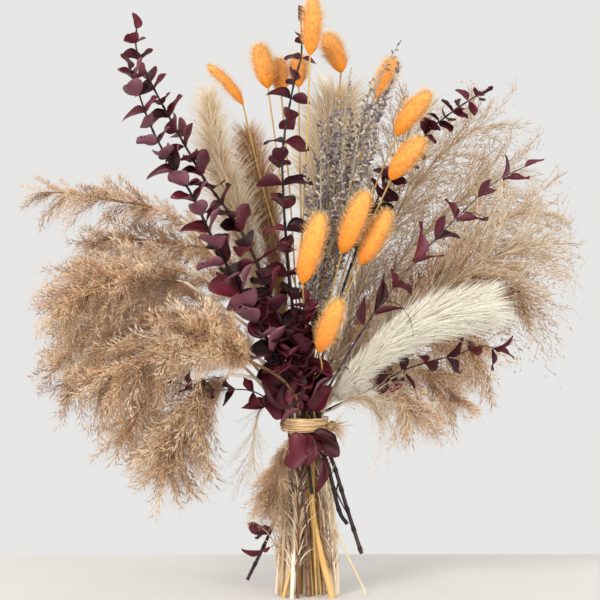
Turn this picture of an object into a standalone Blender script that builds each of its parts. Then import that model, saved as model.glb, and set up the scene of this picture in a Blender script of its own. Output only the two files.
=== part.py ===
# Autumn bouquet of dried flowers, tied with raffia and standing on its cut stem ends.
# Every stem is one closed body with its head or leaves. +Z is up and the front faces -Y.
# The centre straw is cut at the origin.
import math

import bpy
import bmesh
import numpy as np
from mathutils import Matrix, Vector
from mathutils.bvhtree import BVHTree

mm = 0.001

# Driving sizes, in millimetres. The other lists of places below are in millimetres too.
tieHeight = 143
tieHalfHeight = 8
tieInnerRadius = 17.5
footPad = 4
footSpread = 1.75
footShare = 4
twist = math.radians(10)
gap = 0.7
slotRim = 3
slotClearance = 0.5
longStem = 60
stemTipShare = 0.6
branchTipShare = 0.4
tubeSides = 1
weldDistance = 0.000001

# Leaves: a six-sided blade, set a little into the stem. Pairs cross and get smaller up the branch.
leafSides = 6
leafThickness = 0.9
leafRoot = 0.8
leafStagger = 0.35
leafUneven = 4
leafClearance = 0.45
leafShares = (1, 0.8, 0.6, 0.45)
leafTurns = (0, 25, -25, 50, -50)
firstPairTurn = 25
quarterTurn = 90
leafFade = 0.45
leafSamples = 200

# Raffia: a ring of ridges with a knot at its right.
tieBottom = 137.5
tieTop = 148
tieRidges = 4
ridgeOut = 2.4
valleyOut = 1.5
ringShoulder = 0.5
ringSteps = 28
ringMerge = 0.00001
knotPlace = (22.7, -6.5, 141)
knotHalf = (4.6, 4.2, 4.5)
knotSegments = 10
knotRings = 6

# How the stems are pushed apart: steps, and how much of each correction is taken.
routeSteps = 12
packSteps = 800
packShare = 0.3
farApart = 1000
settleSteps = 400
settledOverlap = 0.05
pushShare = 0.8
greatestPush = 3
smoothingShare = 0.75
ownDrift = 0.8
neighbourDrift = 0.1

# name: (radius of the stem, greatest radius of the head, points along the head, colour slot)
kinds = {
    "reed": (1.3, 12.0, 7, "reed_plume"),
    "grass": (0.8, 8.5, 6, "hair_grass"),
    "cream": (1.3, 11.0, 7, "cream_plume"),
    "pampas": (1.3, 13.0, 7, "white_pampas"),
    "tail": (0.7, 9.0, 7, "bunny_tail"),
    "lavender": (0.7, 4.2, 5, "lavender"),
    "straw": (1.6, 1.6, 2, "straw"),
}

# Head outlines: how wide the head is, as a part of its greatest radius, from its foot to its tip.
outlines = {
    "reed": [0.25, 0.75, 1.0, 0.95, 0.75, 0.45, 0.12],
    "grass": [0.2, 0.7, 1.0, 0.85, 0.5, 0.12],
    "cream": [0.25, 0.75, 1.0, 1.0, 0.85, 0.6, 0.2],
    "pampas": [0.2, 0.55, 0.8, 1.0, 1.0, 0.9, 0.35],
    "tail": [0.45, 0.85, 1.0, 1.0, 0.9, 0.65, 0.25],
    "lavender": [0.4, 1.0, 1.0, 0.8, 0.3],
    "straw": [1.0, 1.0],
}

# name: (kind, length of the head, points above the tie from low to high)
heads = {
    "reed_left_1": ("reed", 150, [(-60, 25, 262), (-97, 30, 310), (-130, 32, 326), (-168, 34, 333),
                                  (-206, 34, 339), (-240, 34, 339)]),
    "reed_left_2": ("reed", 130, [(-40, 40, 230), (-85, 62, 285), (-119, 70, 296), (-165, 74, 300),
                                  (-200, 72, 291)]),
    "reed_left_3": ("reed", 130, [(-40, 0, 225), (-92, 8, 263), (-138, 8, 276), (-174, 6, 272),
                                  (-208, 4, 261)]),
    "reed_left_4": ("reed", 120, [(-50, -25, 215), (-100, -45, 258), (-135, -52, 265), (-174, -52, 255),
                                  (-196, -50, 240), (-204, -50, 220)]),
    "reed_left_5": ("reed", 140, [(-45, 40, 205), (-92, 48, 252), (-138, 45, 246), (-178, 42, 224),
                                  (-202, 40, 202), (-219, 38, 183)]),
    "reed_left_6": ("reed", 130, [(-45, 5, 195), (-80, 0, 226), (-111, -5, 234), (-147, -8, 219),
                                  (-174, -10, 201), (-191, -10, 182), (-201, -10, 162)]),
    "reed_left_7": ("reed", 110, [(-40, -30, 185), (-70, -48, 215), (-102, -55, 219), (-129, -58, 204),
                                  (-155, -60, 186), (-174, -60, 165)]),
    "reed_left_8": ("reed", 120, [(-40, 20, 180), (-65, 26, 200), (-92, 28, 201), (-119, 28, 179),
                                  (-139, 26, 155), (-159, 24, 119)]),
    "reed_left_9": ("reed", 110, [(-30, -25, 172), (-52, -38, 187), (-74, -42, 180), (-92, -42, 155),
                                  (-111, -40, 128), (-122, -38, 96)]),
    "reed_left_10": ("reed", 80, [(-25, -35, 180), (-47, -52, 195), (-74, -62, 212), (-100, -66, 216),
                                  (-118, -66, 206)]),
    "reed_back_left": ("reed", 120, [(-17, 45, 222), (-29, 60, 297), (-42, 66, 356), (-52, 70, 402)]),
    "cream_plume": ("cream", 190, [(-11, 12, 190), (-36, 23, 247), (-57, 28, 314), (-76, 32, 373),
                                   (-84, 34, 431)]),
    "beige_plume": ("cream", 150, [(8, 40, 222), (16, 62, 314), (24, 75, 381), (30, 82, 430)]),
    "white_pampas": ("pampas", 170, [(26, -13, 163), (39, -30, 181), (58, -46, 201), (80, -56, 219),
                                     (113, -60, 234), (147, -60, 243), (163, -60, 246)]),
    "hair_grass_1": ("grass", 170, [(30, 55, 222), (59, 82, 314), (86, 95, 381), (105, 100, 430)]),
    "hair_grass_2": ("grass", 180, [(40, 35, 240), (85, 55, 330), (130, 66, 383), (178, 70, 411)]),
    "hair_grass_3": ("grass", 170, [(50, 55, 235), (110, 90, 310), (160, 100, 350), (204, 105, 377)]),
    "hair_grass_4": ("grass", 170, [(60, 25, 220), (120, 40, 280), (170, 46, 315), (220, 48, 335)]),
    "hair_grass_5": ("grass", 160, [(60, 0, 212), (120, 5, 262), (170, 8, 288), (216, 8, 298)]),
    "hair_grass_6": ("grass", 150, [(60, 50, 205), (120, 75, 248), (165, 82, 262), (202, 84, 251)]),
    "reed_right_1": ("reed", 140, [(45, 10, 200), (81, 18, 250), (123, 22, 269), (166, 24, 264),
                                   (193, 24, 238)]),
    "reed_right_2": ("reed", 100, [(45, 30, 190), (85, 40, 222), (119, 42, 221), (142, 42, 209),
                                   (158, 42, 188)]),
    "reed_right_3": ("reed", 90, [(35, 8, 172), (65, 15, 192), (92, 16, 189), (114, 16, 177),
                                  (130, 16, 157), (134, 16, 146)]),
    "reed_right_4": ("reed", 80, [(30, -12, 165), (50, -18, 182), (70, -20, 182), (87, -20, 163),
                                  (98, -20, 131)]),
    "reed_right_5": ("grass", 60, [(25, -22, 158), (42, -30, 166), (60, -34, 160), (76, -34, 138)]),
    "grass_wisp_low": ("grass", 80, [(-24, -8, 166), (-37, -12, 158), (-43, -13, 128), (-41, -13, 98),
                                     (-37, -13, 74)]),
    "bunny_tail_1": ("tail", 48, [(2, -18, 300), (7, -26, 452), (7, -28, 498)]),
    "bunny_tail_2": ("tail", 38, [(20, 12, 330), (32, 20, 430), (17, 22, 476)]),
    "bunny_tail_3": ("tail", 30, [(-4, 25, 300), (-6, 36, 430), (-4, 36, 460)]),
    "bunny_tail_4": ("tail", 40, [(-15, 8, 300), (-31, 15, 426), (-40, 15, 466)]),
    "bunny_tail_5": ("tail", 32, [(-10, 28, 300), (-20, 32, 424), (-22, 34, 456)]),
    "bunny_tail_6": ("tail", 42, [(-40, 45, 300), (-66, 60, 417), (-86, 62, 454)]),
    "bunny_tail_7": ("tail", 42, [(30, 5, 300), (61, 12, 414), (76, 12, 454)]),
    "bunny_tail_8": ("tail", 48, [(40, -5, 290), (77, -6, 385), (106, -6, 423)]),
    "bunny_tail_9": ("tail", 46, [(38, -25, 270), (71, -32, 347), (99, -34, 382)]),
    "bunny_tail_10": ("tail", 60, [(12, -24, 200), (5, -46, 256), (14, -50, 320)]),
    "bunny_tail_11": ("tail", 53, [(22, -38, 220), (37, -50, 285), (51, -54, 337)]),
    "bunny_tail_12": ("tail", 50, [(28, -22, 220), (50, -34, 277), (70, -36, 323)]),
    "bunny_tail_13": ("tail", 48, [(11, -38, 178), (13, -52, 203), (29, -58, 249)]),
    "lavender_1": ("lavender", 110, [(20, -5, 240), (45, -10, 350), (62, -10, 425), (79, -10, 462)]),
    "lavender_2": ("lavender", 110, [(14, -12, 240), (28, -18, 340), (38, -20, 438)]),
    "lavender_3": ("lavender", 100, [(10, 5, 240), (20, 2, 340), (25, 0, 418)]),
    "lavender_4": ("lavender", 110, [(20, 8, 240), (42, 10, 350), (57, 12, 432)]),
    "lavender_5": ("lavender", 90, [(10, -22, 230), (14, -30, 300), (13, -32, 373)]),
    "lavender_6": ("lavender", 100, [(24, -18, 230), (38, -26, 310), (47, -28, 396)]),
    "straw_centre": ("straw", 20, [(0, 2, 190), (0, 4, 230)]),
    "straw_right": ("straw", 20, [(14, -5, 168), (14, -5, 180)]),
    "yellow_reed": ("straw", 20, [(7, -6, 165), (7, -7, 178)]),
    "orange_reed": ("straw", 20, [(-4, -3, 168), (-5, -3, 182)]),
}

# Tufts that hang from the tie and reach no floor: points with the radius at each.
hangers = {
    "reed_tuft_low": [
        (-8, -13, 163, 0.9), (-8.5, -13, 151, 0.9), (-8.5, -13, 135, 0.9), (-17, -18, 120, 3),
        (-23, -21, 106, 6.5), (-28, -23, 90, 7), (-33, -24, 76, 5), (-37, -24, 62, 1)],
}

# Heads that are slimmer or fuller than their kind: greatest radius.
headRadii = {
    "reed_left_10": 13, "reed_right_3": 9, "reed_right_4": 8, "reed_right_5": 8,
    "grass_wisp_low": 2.2,
    "bunny_tail_3": 7, "bunny_tail_5": 7, "bunny_tail_6": 5, "bunny_tail_1": 8,
    "bunny_tail_7": 7.5, "bunny_tail_10": 10, "bunny_tail_11": 9.5,
    "straw_centre": 1.7, "straw_right": 1.0, "yellow_reed": 2.9, "orange_reed": 1.7,
}

# Cut ends that are placed by hand; the others follow from where the stem passes the tie.
feet = {
    "straw_centre": (0, 0),
    "straw_right": (50, -8),
    "yellow_reed": (22, -21),
    "orange_reed": (-17, -20),
}

# Leafy branches keep these routes exactly, from the cut end up to the tip.
# name: (radius of the stem, points, leaves)
# leaves: (height of the first pair, distance between pairs, length, width, lean up in degrees)
branches = {
    "eucalyptus_left_tall": (1.7, [
        (47, -24, 37), (35, -18, 74), (23, -14, 113), (12, -9.5, 135), (12, -9.5, 151), (-13, -28, 213),
        (-38, -38, 274), (-55, -42, 308), (-81, -44, 344), (-95, -42, 368), (-119, -34, 411),
        (-132, -30, 437), (-139, -28, 454), (-139, -28, 472)], (175, 23, 22, 15, 25)),
    "eucalyptus_left_front": (1.7, [
        (35, -27, 62), (28, -24, 74), (18, -20, 113), (6, -13, 135), (6, -13, 151), (-8, -17, 171),
        (-24, -32, 201), (-43, -46, 239), (-72, -58, 291), (-92, -60, 333), (-112, -58, 363),
        (-127, -56, 393), (-142, -52, 436)], (170, 24, 22, 14, 35)),
    "eucalyptus_centre": (1.6, [
        (3, -15, 0), (3, -15, 4), (-2, -9, 135), (-2, -9, 151), (-8, -20, 223), (-14, -24, 274),
        (-18, -24, 339), (-18, -20, 375), (-10, -6, 424), (-3, 0, 453), (-3, 2, 482)],
        (190, 23, 19, 13, 10)),
    "eucalyptus_back_right": (1.5, [
        (-49, 27, 8), (-27, 25, 55), (3, 15, 135), (3, 15, 151), (17, 22, 205), (38, 28, 272),
        (59, 28, 327), (76, 24, 352), (92, 20, 373), (107, 16, 392), (130, 14, 410),
        (152, 14, 424)], (320, 14, 14, 12, 5)),
    "eucalyptus_short": (1.4, [
        (6, -23, 86), (3, -20, 110), (-2, -15, 135), (-2, -15, 151), (-7, -26, 180), (-4, -38, 215),
        (0, -46, 245)], (155, 14, 21, 15, 40)),
    "leafy_branch_right": (1.1, [
        (16, -3, 0), (16, -3, 4), (9.5, -4, 135), (9.5, -4, 151), (25, -22, 184), (50, -36, 226),
        (65, -40, 247), (85, -42, 273), (110, -42, 300), (129, -40, 319), (150, -38, 339),
        (169, -36, 351), (182, -34, 357)], (240, 27, 26, 7, 35)),
    "leafy_branch_low_right": (1.0, [
        (25, 12, 0), (25, 12, 4), (15.4, 1, 135), (15.4, 1, 151), (24, -9, 158), (50, -20, 171),
        (80, -26, 188), (102, -28, 196), (122, -28, 201), (146, -28, 209), (160, -28, 205)],
        (170, 22, 24, 8, 25)),
    "leafy_branch_low_left": (0.9, [
        (4, -27, 44), (-2, -22.5, 88), (-6, -18, 109), (-13.5, -8.5, 135), (-13.5, -8.5, 151),
        (-28, -26, 163), (-46, -38, 173), (-76, -50, 174), (-105, -56, 180)], (165, 20, 22, 7, 25)),
}

# slot: (red, green, blue as seen, roughness)
colours = {
    "reed_plume": ((190, 150, 110), 0.95),
    "hair_grass": ((215, 195, 165), 0.95),
    "cream_plume": ((225, 205, 170), 0.95),
    "white_pampas": ((240, 232, 215), 0.95),
    "bunny_tail": ((250, 165, 60), 0.95),
    "lavender": ((120, 105, 125), 0.95),
    "straw": ((222, 190, 135), 0.6),
    "eucalyptus": ((95, 35, 48), 0.5),
    "raffia": ((215, 180, 130), 0.7),
}


def linear(channel):
    share = channel / 255
    return share / 12.92 if share <= 0.04045 else ((share + 0.055) / 1.055) ** 2.4


def makeMaterial(slot):
    seen, roughness = colours[slot]
    material = bpy.data.materials.new(slot)
    material.use_nodes = True
    shader = material.node_tree.nodes["Principled BSDF"]
    shader.inputs["Base Color"].default_value = [linear(c) for c in seen] + [1]
    shader.inputs["Roughness"].default_value = roughness
    shader.inputs["Metallic"].default_value = 0
    return material


def smoothRoute(points, distances):
    """Places at these distances along a Catmull-Rom curve through the points."""
    points = np.array(points, float)
    ends = np.vstack([2 * points[0] - points[1], points, 2 * points[-1] - points[-2]])
    fine = []
    for a, b, c, d in zip(ends, ends[1:], ends[2:], ends[3:]):
        for t in np.linspace(0, 1, routeSteps, endpoint=False):
            fine.append(
                0.5 * (2 * b + (c - a) * t + (2 * a - 5 * b + 4 * c - d) * t**2
                       + (3 * b - a - 3 * c + d) * t**3))
    fine.append(points[-1])
    fine = np.array(fine)
    run = np.concatenate([[0], np.cumsum(np.linalg.norm(np.diff(fine, axis=0), axis=1))])
    places = np.array(distances) * run[-1]
    return np.stack([np.interp(places, run, fine[:, axis]) for axis in range(3)], axis=1), run[-1]


def turned(x, y, angle):
    return x * math.cos(angle) - y * math.sin(angle), x * math.sin(angle) + y * math.cos(angle)


def tieSlots():
    """Where each free stem passes the tie: the more a stem leans, the nearer to the rim it is."""
    lean = {}
    for name, (_, _, route) in heads.items():
        x, y, z = route[0]
        lean[name] = (math.hypot(x, y) / (z - tieHeight), math.atan2(y, x) + twist)
        if name in feet:
            x, y = feet[name]
            lean[name] = (math.hypot(x, y) / tieHeight * footShare, math.atan2(y, x) - twist)
    ranked = sorted(lean, key=lambda name: lean[name][0])
    places, radii = [], []
    for rank, name in enumerate(ranked):
        radius = (tieInnerRadius - slotRim) * math.sqrt((rank + 0.5) / len(ranked))
        angle = lean[name][1]
        places.append((radius * math.cos(angle), radius * math.sin(angle)))
        radii.append(stemRadiusOf(name))
    for stemRadius, route, _ in branches.values():
        places += [point[:2] for point in route if point[2] == tieHeight - tieHalfHeight]
        radii.append(stemRadius)
    for route in hangers.values():
        places += [point[:2] for point in route if point[2] == tieHeight - tieHalfHeight]
        radii.append(route[0][3])
    return dict(zip(ranked, packed(np.array(places, float), np.array(radii), len(ranked))))


def stemRadiusOf(name):
    kind = heads[name][0]
    return headRadii.get(name, kinds[kind][1]) if kind == "straw" else kinds[kind][0]


def packed(places, radii, freeCount):
    """Circles pushed apart inside the tie; those after the first freeCount stay where they are."""
    free = np.arange(len(radii)) < freeCount
    for _ in range(packSteps):
        line = places[:, None] - places[None]
        distance = np.linalg.norm(line, axis=2) + np.eye(len(radii)) * farApart
        short = np.maximum(radii[:, None] + radii[None] + gap - distance, 0)
        places[free] += packShare * (line / distance[..., None] * short[..., None]).sum(axis=1)[free]
        reach = np.linalg.norm(places, axis=1)
        room = tieInnerRadius - radii - slotClearance
        outside = free & (reach > room)
        places[outside] *= (room[outside] / reach[outside])[:, None]
    print(f"tie packed, worst overlap left {short.max():.2f} mm")
    return places


def stemPath(name, slot):
    """Points and radii of a free stem from its foot to its tip, before it is settled."""
    kind, headLength, route = heads[name]
    _, headRadius, headPoints, _ = kinds[kind]
    headRadius = headRadii.get(name, headRadius)
    stemRadius = stemRadiusOf(name)
    footX, footY = feet.get(name, [footSpread * c for c in turned(*slot, twist)])
    low, high = tieHeight - tieHalfHeight, tieHeight + tieHalfHeight
    middle = ((footX + slot[0]) / 2, (footY + slot[1]) / 2, low / 2)
    points = [(footX, footY, 0), (footX, footY, footPad), middle, (*slot, low), (*slot, high)]
    _, length = smoothRoute([points[-1], *route], [0, 1])
    headStart = 1 - headLength / length
    stemSteps = 3 if headStart * length > longStem else 2
    shares = [headStart * step / stemSteps for step in range(1, stemSteps)]
    shares += [headStart + (1 - headStart) * step / (headPoints - 1) for step in range(headPoints)]
    above, _ = smoothRoute([points[-1], *route], shares)
    radii = [stemRadius] * (len(points) + stemSteps - 1)
    radii += [max(stemRadius * stemTipShare, headRadius * width) for width in outlines[kind]]
    return np.vstack([points, above]), np.array(radii)


def branchPath(name):
    """Points and radii of a leafy branch, which keeps its route."""
    radius, route, _ = branches[name]
    points = np.array(route, float)
    taper = np.interp(points[:, 2], [tieHeight, points[:, 2].max()], [1, branchTipShare])
    return points, radius * taper


def hangerPath(name):
    route = np.array(hangers[name], float)
    return route[:, :3], route[:, 3]


def closestPlaces(p1, q1, p2, q2):
    """Shares along two sets of segments at which they come closest to each other."""
    d1, d2, r = q1 - p1, q2 - p2, p1 - p2
    a, e, b = (d1 * d1).sum(1), (d2 * d2).sum(1), (d1 * d2).sum(1)
    c, f = (d1 * r).sum(1), (d2 * r).sum(1)
    s = np.clip((b * f - c * e) / np.maximum(a * e - b * b, 1e-9), 0, 1)
    t = np.clip((b * s + f) / e, 0, 1)
    s = np.clip((b * t - c) / a, 0, 1)
    return s, t


def settle(paths, locked):
    """Pushes neighbouring stems apart until each pair has its gap, and keeps the curves smooth."""
    names = list(paths)
    points = np.vstack([paths[name][0] for name in names])
    radii = np.concatenate([paths[name][1] for name in names])
    counts = [len(paths[name][1]) for name in names]
    firsts = np.concatenate([[0], np.cumsum(counts)[:-1]])
    starts = np.concatenate([np.arange(f, f + n - 1) for f, n in zip(firsts, counts)])
    owner = np.repeat(np.arange(len(names)), [n - 1 for n in counts])
    atTie = np.abs(points[:, 2] - tieHeight) <= tieHalfHeight
    free = np.repeat([name not in locked for name in names], counts) & ~atTie
    free = free.astype(float)
    began = points.copy()
    fixedZ = (points[:, 2] <= footPad) | np.roll(atTie, 1) | np.roll(atTie, -1)
    worst = 0
    for step in range(settleSteps):
        a, b = points[starts], points[starts + 1]
        middle = (a + b) / 2
        reach = np.linalg.norm(b - a, axis=1) / 2 + np.maximum(radii[starts], radii[starts + 1]) + gap
        apart = ((middle[:, None] - middle[None]) ** 2).sum(2)
        near = (apart < (reach[:, None] + reach[None]) ** 2) & (owner[:, None] != owner[None])
        i, j = np.nonzero(np.triu(near, 1))
        s, t = closestPlaces(a[i], b[i], a[j], b[j])
        line = a[i] + s[:, None] * (b[i] - a[i]) - a[j] - t[:, None] * (b[j] - a[j])
        distance = np.maximum(np.linalg.norm(line, axis=1), 1e-6)
        need = gap + radii[starts[i]] * (1 - s) + radii[starts[i] + 1] * s
        need += radii[starts[j]] * (1 - t) + radii[starts[j] + 1] * t
        close = need > distance
        i, j, s, t = i[close], j[close], s[close], t[close]
        short = (need - distance)[close]
        worst = short.max() if len(short) else 0
        if worst < settledOverlap:
            break
        push = line[close] / distance[close][:, None]
        move = np.zeros_like(points)
        hits = np.zeros(len(points))
        ends = [(starts[i], 1 - s, 1), (starts[i] + 1, s, 1),
                (starts[j], 1 - t, -1), (starts[j] + 1, t, -1)]
        total = sum(weight**2 * free[place] for place, weight, _ in ends)
        for place, weight, sign in ends:
            size = sign * weight * free[place] * np.minimum(short, greatestPush)
            size = size / np.maximum(total, 1e-6)
            np.add.at(move, place, size[:, None] * push)
            np.add.at(hits, place, weight * free[place])
        move /= np.maximum(hits, 1)[:, None] ** 0.5
        move[fixedZ, 2] = 0
        points += pushShare * move
        if step < settleSteps * smoothingShare:
            drift = points - began
            for first, count in zip(firsts, counts):
                part = drift[first + 2:first + count - 1]
                around = drift[first + 1:first + count - 2] + drift[first + 3:first + count]
                drift[first + 2:first + count - 1] = ownDrift * part + neighbourDrift * around
            drift[fixedZ, 2] = 0
            points = np.where(free[:, None] > 0, began + drift, points)
        for name, first in zip(names, firsts):
            if name not in locked:
                foot = points[first:first + 2, :2].mean(axis=0)
                if name in feet:
                    foot = np.array(feet[name], float)
                points[first:first + 2, :2] = foot
    print(f"settled in {step + 1} steps, worst overlap left {worst:.2f} mm")
    return {name: (points[f:f + n], paths[name][1]) for name, f, n in zip(names, firsts, counts)}


def makeTube(name, points, radii, slot):
    """A curve object whose origin is the middle of its cut end."""
    curve = bpy.data.curves.new(name, "CURVE")
    curve.dimensions = "3D"
    curve.bevel_depth = mm
    curve.bevel_resolution = tubeSides
    curve.use_fill_caps = True
    spline = curve.splines.new("POLY")
    spline.points.add(len(points) - 1)
    origin = Vector(points[0]) * mm
    for place, point, radius in zip(spline.points, points, radii):
        place.co = (*(Vector(point) * mm - origin), 1)
        place.radius = radius
    curve.materials.append(materials[slot])
    tube = bpy.data.objects.new(name, curve)
    tube.location = origin
    bouquet.objects.link(tube)
    return tube


def triangleTree(obj):
    """The tree of an object's triangles where the object stands."""
    bpy.context.view_layer.update()
    graph = bpy.context.evaluated_depsgraph_get()
    evaluated = obj.evaluated_get(graph)
    mesh = evaluated.to_mesh()
    mesh.transform(obj.matrix_world)
    corners = [vertex.co.copy() for vertex in mesh.vertices]
    faces = [tuple(polygon.vertices) for polygon in mesh.polygons]
    evaluated.to_mesh_clear()
    return BVHTree.FromPolygons(corners, faces)


def leafShape(length, width, thickness):
    """A six-sided blade that lies along +X from the origin, as a bmesh."""
    blade = bmesh.new()
    bmesh.ops.create_cone(blade, cap_ends=True, segments=leafSides, radius1=0.5, radius2=0.5, depth=1)
    bmesh.ops.rotate(blade, verts=blade.verts, matrix=Matrix.Rotation(math.pi / leafSides, 3, "Z"))
    bmesh.ops.scale(blade, verts=blade.verts, vec=(length * mm, width * mm, thickness * mm))
    bmesh.ops.translate(blade, verts=blade.verts, vec=((length / 2 - leafRoot) * mm, 0, 0))
    return blade


def placeLeaf(blade, stemPoint, along, side, lean):
    """Turns a blade out from the stem on this side, leaning up along the stem."""
    out = (side * math.cos(lean) + along * math.sin(lean)).normalized()
    across = along.cross(side).normalized()
    turn = Matrix((out, across, out.cross(across))).transposed().to_4x4()
    turn.translation = stemPoint
    blade.transform(turn)
    return blade


def fits(blade, trees):
    tree = BVHTree.FromBMesh(blade)
    return not any(tree.overlap(other) for other in trees)


def leafThatFits(place, along, side, lean, length, width, trees):
    """The first turn about the stem, then size, at which a leaf is clear of its neighbours."""
    for share in leafShares:
        for angle in leafTurns:
            turnedSide = Matrix.Rotation(math.radians(angle), 3, along) @ side
            trial = leafShape(length * share + leafClearance, width * share + 2 * leafClearance,
                              leafThickness + 2 * leafClearance)
            placeLeaf(trial, place, along, turnedSide, lean)
            clear = fits(trial, trees)
            trial.free()
            if clear:
                return placeLeaf(leafShape(length * share, width * share, leafThickness),
                                 place, along, turnedSide, lean)
    return None


def makeLeaves(name, trees):
    """The leaves of a branch in crossed pairs, as one mesh."""
    _, route, (firstHeight, spacing, length, width, lean) = branches[name]
    corners = np.array(route, float)
    run = np.concatenate([[0], np.cumsum(np.linalg.norm(np.diff(corners, axis=0), axis=1))])
    total = run[-1]
    places = np.linspace(0, total, leafSamples)
    last = leafSamples - 1
    points = np.stack([np.interp(places, run, corners[:, axis]) for axis in range(3)], axis=1)
    start = int(np.argmax(points[:, 2] >= firstHeight))
    step = spacing / total * last
    leaves = bmesh.new()
    fitted = []
    for number, index in enumerate(np.arange(start, last, step)):
        index = int(index)
        along = Vector(points[index + 1] - points[index - 1]).normalized()
        front = Vector((0, -1, 0))
        side = along.cross(front).normalized()
        pairTurn = math.radians(firstPairTurn + quarterTurn * (number % 2))
        side = Matrix.Rotation(pairTurn, 3, along) @ side
        share = 1 - leafFade * (index - start) / (last - start)
        for sign in (1, -1):
            root = Vector(points[index]) * mm + along * leafStagger * mm * (1 + sign)
            blade = leafThatFits(root, along, side * sign, math.radians(lean + leafUneven * sign),
                                 length * share, width * share, trees)
            if blade:
                fitted.append(BVHTree.FromBMesh(blade))
                mesh = bpy.data.meshes.new("leaf")
                blade.to_mesh(mesh)
                leaves.from_mesh(mesh)
                blade.free()
    leafMesh = bpy.data.meshes.new(name + "_leaves")
    leaves.to_mesh(leafMesh)
    leaves.free()
    print(f"{name}: {len(fitted)} leaves")
    return leafMesh, fitted


def makeBranch(name, points, radii, trees):
    """A stem with its leaves joined on, so that the branch is one body."""
    tube = makeTube(name, points, radii, "eucalyptus")
    bpy.context.view_layer.update()
    graph = bpy.context.evaluated_depsgraph_get()
    stemMesh = bpy.data.meshes.new_from_object(tube.evaluated_get(graph))
    welded = bmesh.new()
    welded.from_mesh(stemMesh)
    bmesh.ops.remove_doubles(welded, verts=welded.verts, dist=weldDistance)
    welded.to_mesh(stemMesh)
    welded.free()
    origin = tube.location.copy()
    bpy.data.objects.remove(tube)
    branch = bpy.data.objects.new(name, stemMesh)
    branch.location = origin
    bouquet.objects.link(branch)
    leafMesh, fitted = makeLeaves(name, trees)
    leafMesh.transform(Matrix.Translation(-origin))
    cutter = bpy.data.objects.new(name + "_leaves", leafMesh)
    cutter.location = origin
    cutter.hide_render = True
    cutter.display_type = "WIRE"
    helpers.objects.link(cutter)
    join = branch.modifiers.new("leaves", "BOOLEAN")
    join.operation = "UNION"
    join.solver = "EXACT"
    join.use_self = True
    join.object = cutter
    return fitted


def makeBinding():
    """Turns of raffia round the stems: a ring of ridges with a knot on its right."""
    profile = bpy.data.meshes.new("raffia_binding")
    outline = bmesh.new()
    inner = tieInnerRadius
    outer = inner + ridgeOut
    valley = inner + valleyOut
    rows = [(inner, tieBottom), (outer - ringShoulder, tieBottom)]
    ridgeStep = (tieTop - tieBottom) / tieRidges
    for ridge in range(tieRidges):
        rows.append((outer, tieBottom + (ridge + 0.5) * ridgeStep))
        if ridge < tieRidges - 1:
            rows.append((valley, tieBottom + (ridge + 1) * ridgeStep))
    rows += [(outer - ringShoulder, tieTop), (inner, tieTop)]
    corners = [outline.verts.new((radius * mm, 0, height * mm)) for radius, height in rows]
    for first, second in zip(corners, corners[1:] + corners[:1]):
        outline.edges.new((first, second))
    outline.to_mesh(profile)
    outline.free()
    binding = bpy.data.objects.new("raffia_binding", profile)
    bouquet.objects.link(binding)
    spin = binding.modifiers.new("turn", "SCREW")
    spin.steps = ringSteps
    spin.render_steps = ringSteps
    spin.use_merge_vertices = True
    spin.merge_threshold = ringMerge
    spin.use_normal_calculate = True
    knotMesh = bpy.data.meshes.new("raffia_knot")
    knot = bmesh.new()
    bmesh.ops.create_uvsphere(knot, u_segments=knotSegments, v_segments=knotRings, radius=1)
    bmesh.ops.scale(knot, verts=knot.verts, vec=[half * mm for half in knotHalf])
    knot.to_mesh(knotMesh)
    knot.free()
    helper = bpy.data.objects.new("raffia_knot", knotMesh)
    helper.location = [coordinate * mm for coordinate in knotPlace]
    helper.hide_render = True
    helper.display_type = "WIRE"
    helpers.objects.link(helper)
    join = binding.modifiers.new("knot", "BOOLEAN")
    join.operation = "UNION"
    join.solver = "EXACT"
    join.object = helper
    profile.materials.append(materials["raffia"])


# The bouquet: free stems, then the raffia, then the leafy branches, whose leaves avoid all of them.
for old in list(bpy.data.objects):
    bpy.data.objects.remove(old)
bouquet = bpy.data.collections.new("dried_bouquet")
helpers = bpy.data.collections.new("helpers")
bpy.context.scene.collection.children.link(bouquet)
bpy.context.scene.collection.children.link(helpers)
helpers.hide_render = True
materials = {slot: makeMaterial(slot) for slot in colours}

slots = tieSlots()
paths = {name: branchPath(name) for name in branches}
paths.update({name: hangerPath(name) for name in hangers})
paths.update({name: stemPath(name, slots[name]) for name in heads})
paths = settle(paths, set(branches) | set(hangers))
trees = []
for name in heads:
    tube = makeTube(name, *paths[name], kinds[heads[name][0]][3])
    trees.append(triangleTree(tube))
for name in hangers:
    trees.append(triangleTree(makeTube(name, *paths[name], "reed_plume")))
stemTrees = {}
for name in branches:
    probe = makeTube(name + "_probe", *paths[name], "eucalyptus")
    stemTrees[name] = triangleTree(probe)
    bpy.data.objects.remove(probe)
makeBinding()
trees.append(triangleTree(bpy.data.objects["raffia_binding"]))
for name in branches:
    others = [tree for other, tree in stemTrees.items() if other != name]
    trees += makeBranch(name, *paths[name], trees + others)
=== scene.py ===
import math

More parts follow.
